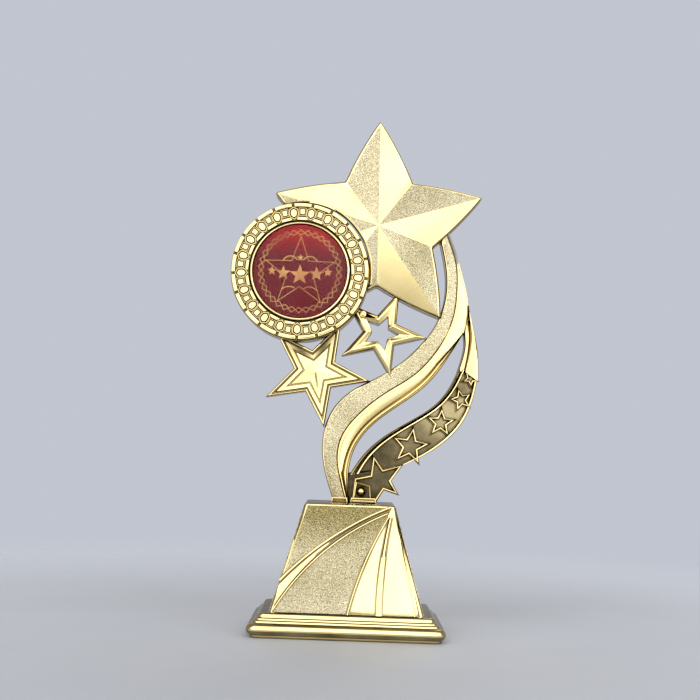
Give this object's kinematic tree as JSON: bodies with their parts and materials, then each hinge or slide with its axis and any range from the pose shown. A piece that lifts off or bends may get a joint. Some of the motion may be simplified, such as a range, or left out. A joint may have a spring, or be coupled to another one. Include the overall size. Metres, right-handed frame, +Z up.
{
  "type": "star trophy",
  "caption": "Upright award figure: a large faceted star, a round medal with an emblem and small stars on sweeping ribbons, on a tapered block with a moulded foot.",
  "frame": {"origin": "centre of the flat underside of the base, where it rests on a table", "axes": "+Z up through the figure, the front with the emblem faces -Y, +X to the viewer's right"},
  "size_m": [0.0674, 0.034, 0.1359],
  "materials": {
    "gold_polished": "vacuum-metallised, mirror polished",
    "gold_frosted": "vacuum-metallised over a sandblasted texture",
    "emblem_print": "printed foil, deep red with a gold ornament",
    "emblem_clear": "clear glossy dome of cast resin",
    "adhesive": "foam adhesive",
    "cover_plastic": "matte moulded",
    "weight_iron": "rough cast",
    "screw_steel": "zinc plated"
  },
  "bodies": {
    "root": {"base_shell": "gold_polished", "arc_rib": "gold_polished", "narrow_rib": "gold_polished", "broad_rib": "gold_polished", "bottom_cover": "cover_plastic", "base_weight": "weight_iron", "figure_screws": "screw_steel", "figure_washers": "screw_steel", "main_star": "gold_polished", "small_star": "gold_polished", "open_star": "gold_polished", "sweep_ribbon": "gold_frosted", "sweep_band": "gold_polished", "outer_ribbon": "gold_polished", "star_trail": "gold_polished", "trail_star_1": "gold_polished", "trail_star_2": "gold_polished", "trail_star_3": "gold_polished", "trail_star_4": "gold_polished", "trail_star_5": "gold_polished", "ball_boss": "gold_polished", "medal_bezel": "gold_polished", "emblem_pad": "adhesive", "emblem_disc": "emblem_print", "emblem_dome": "emblem_clear"}
  },
  "joints": []
}
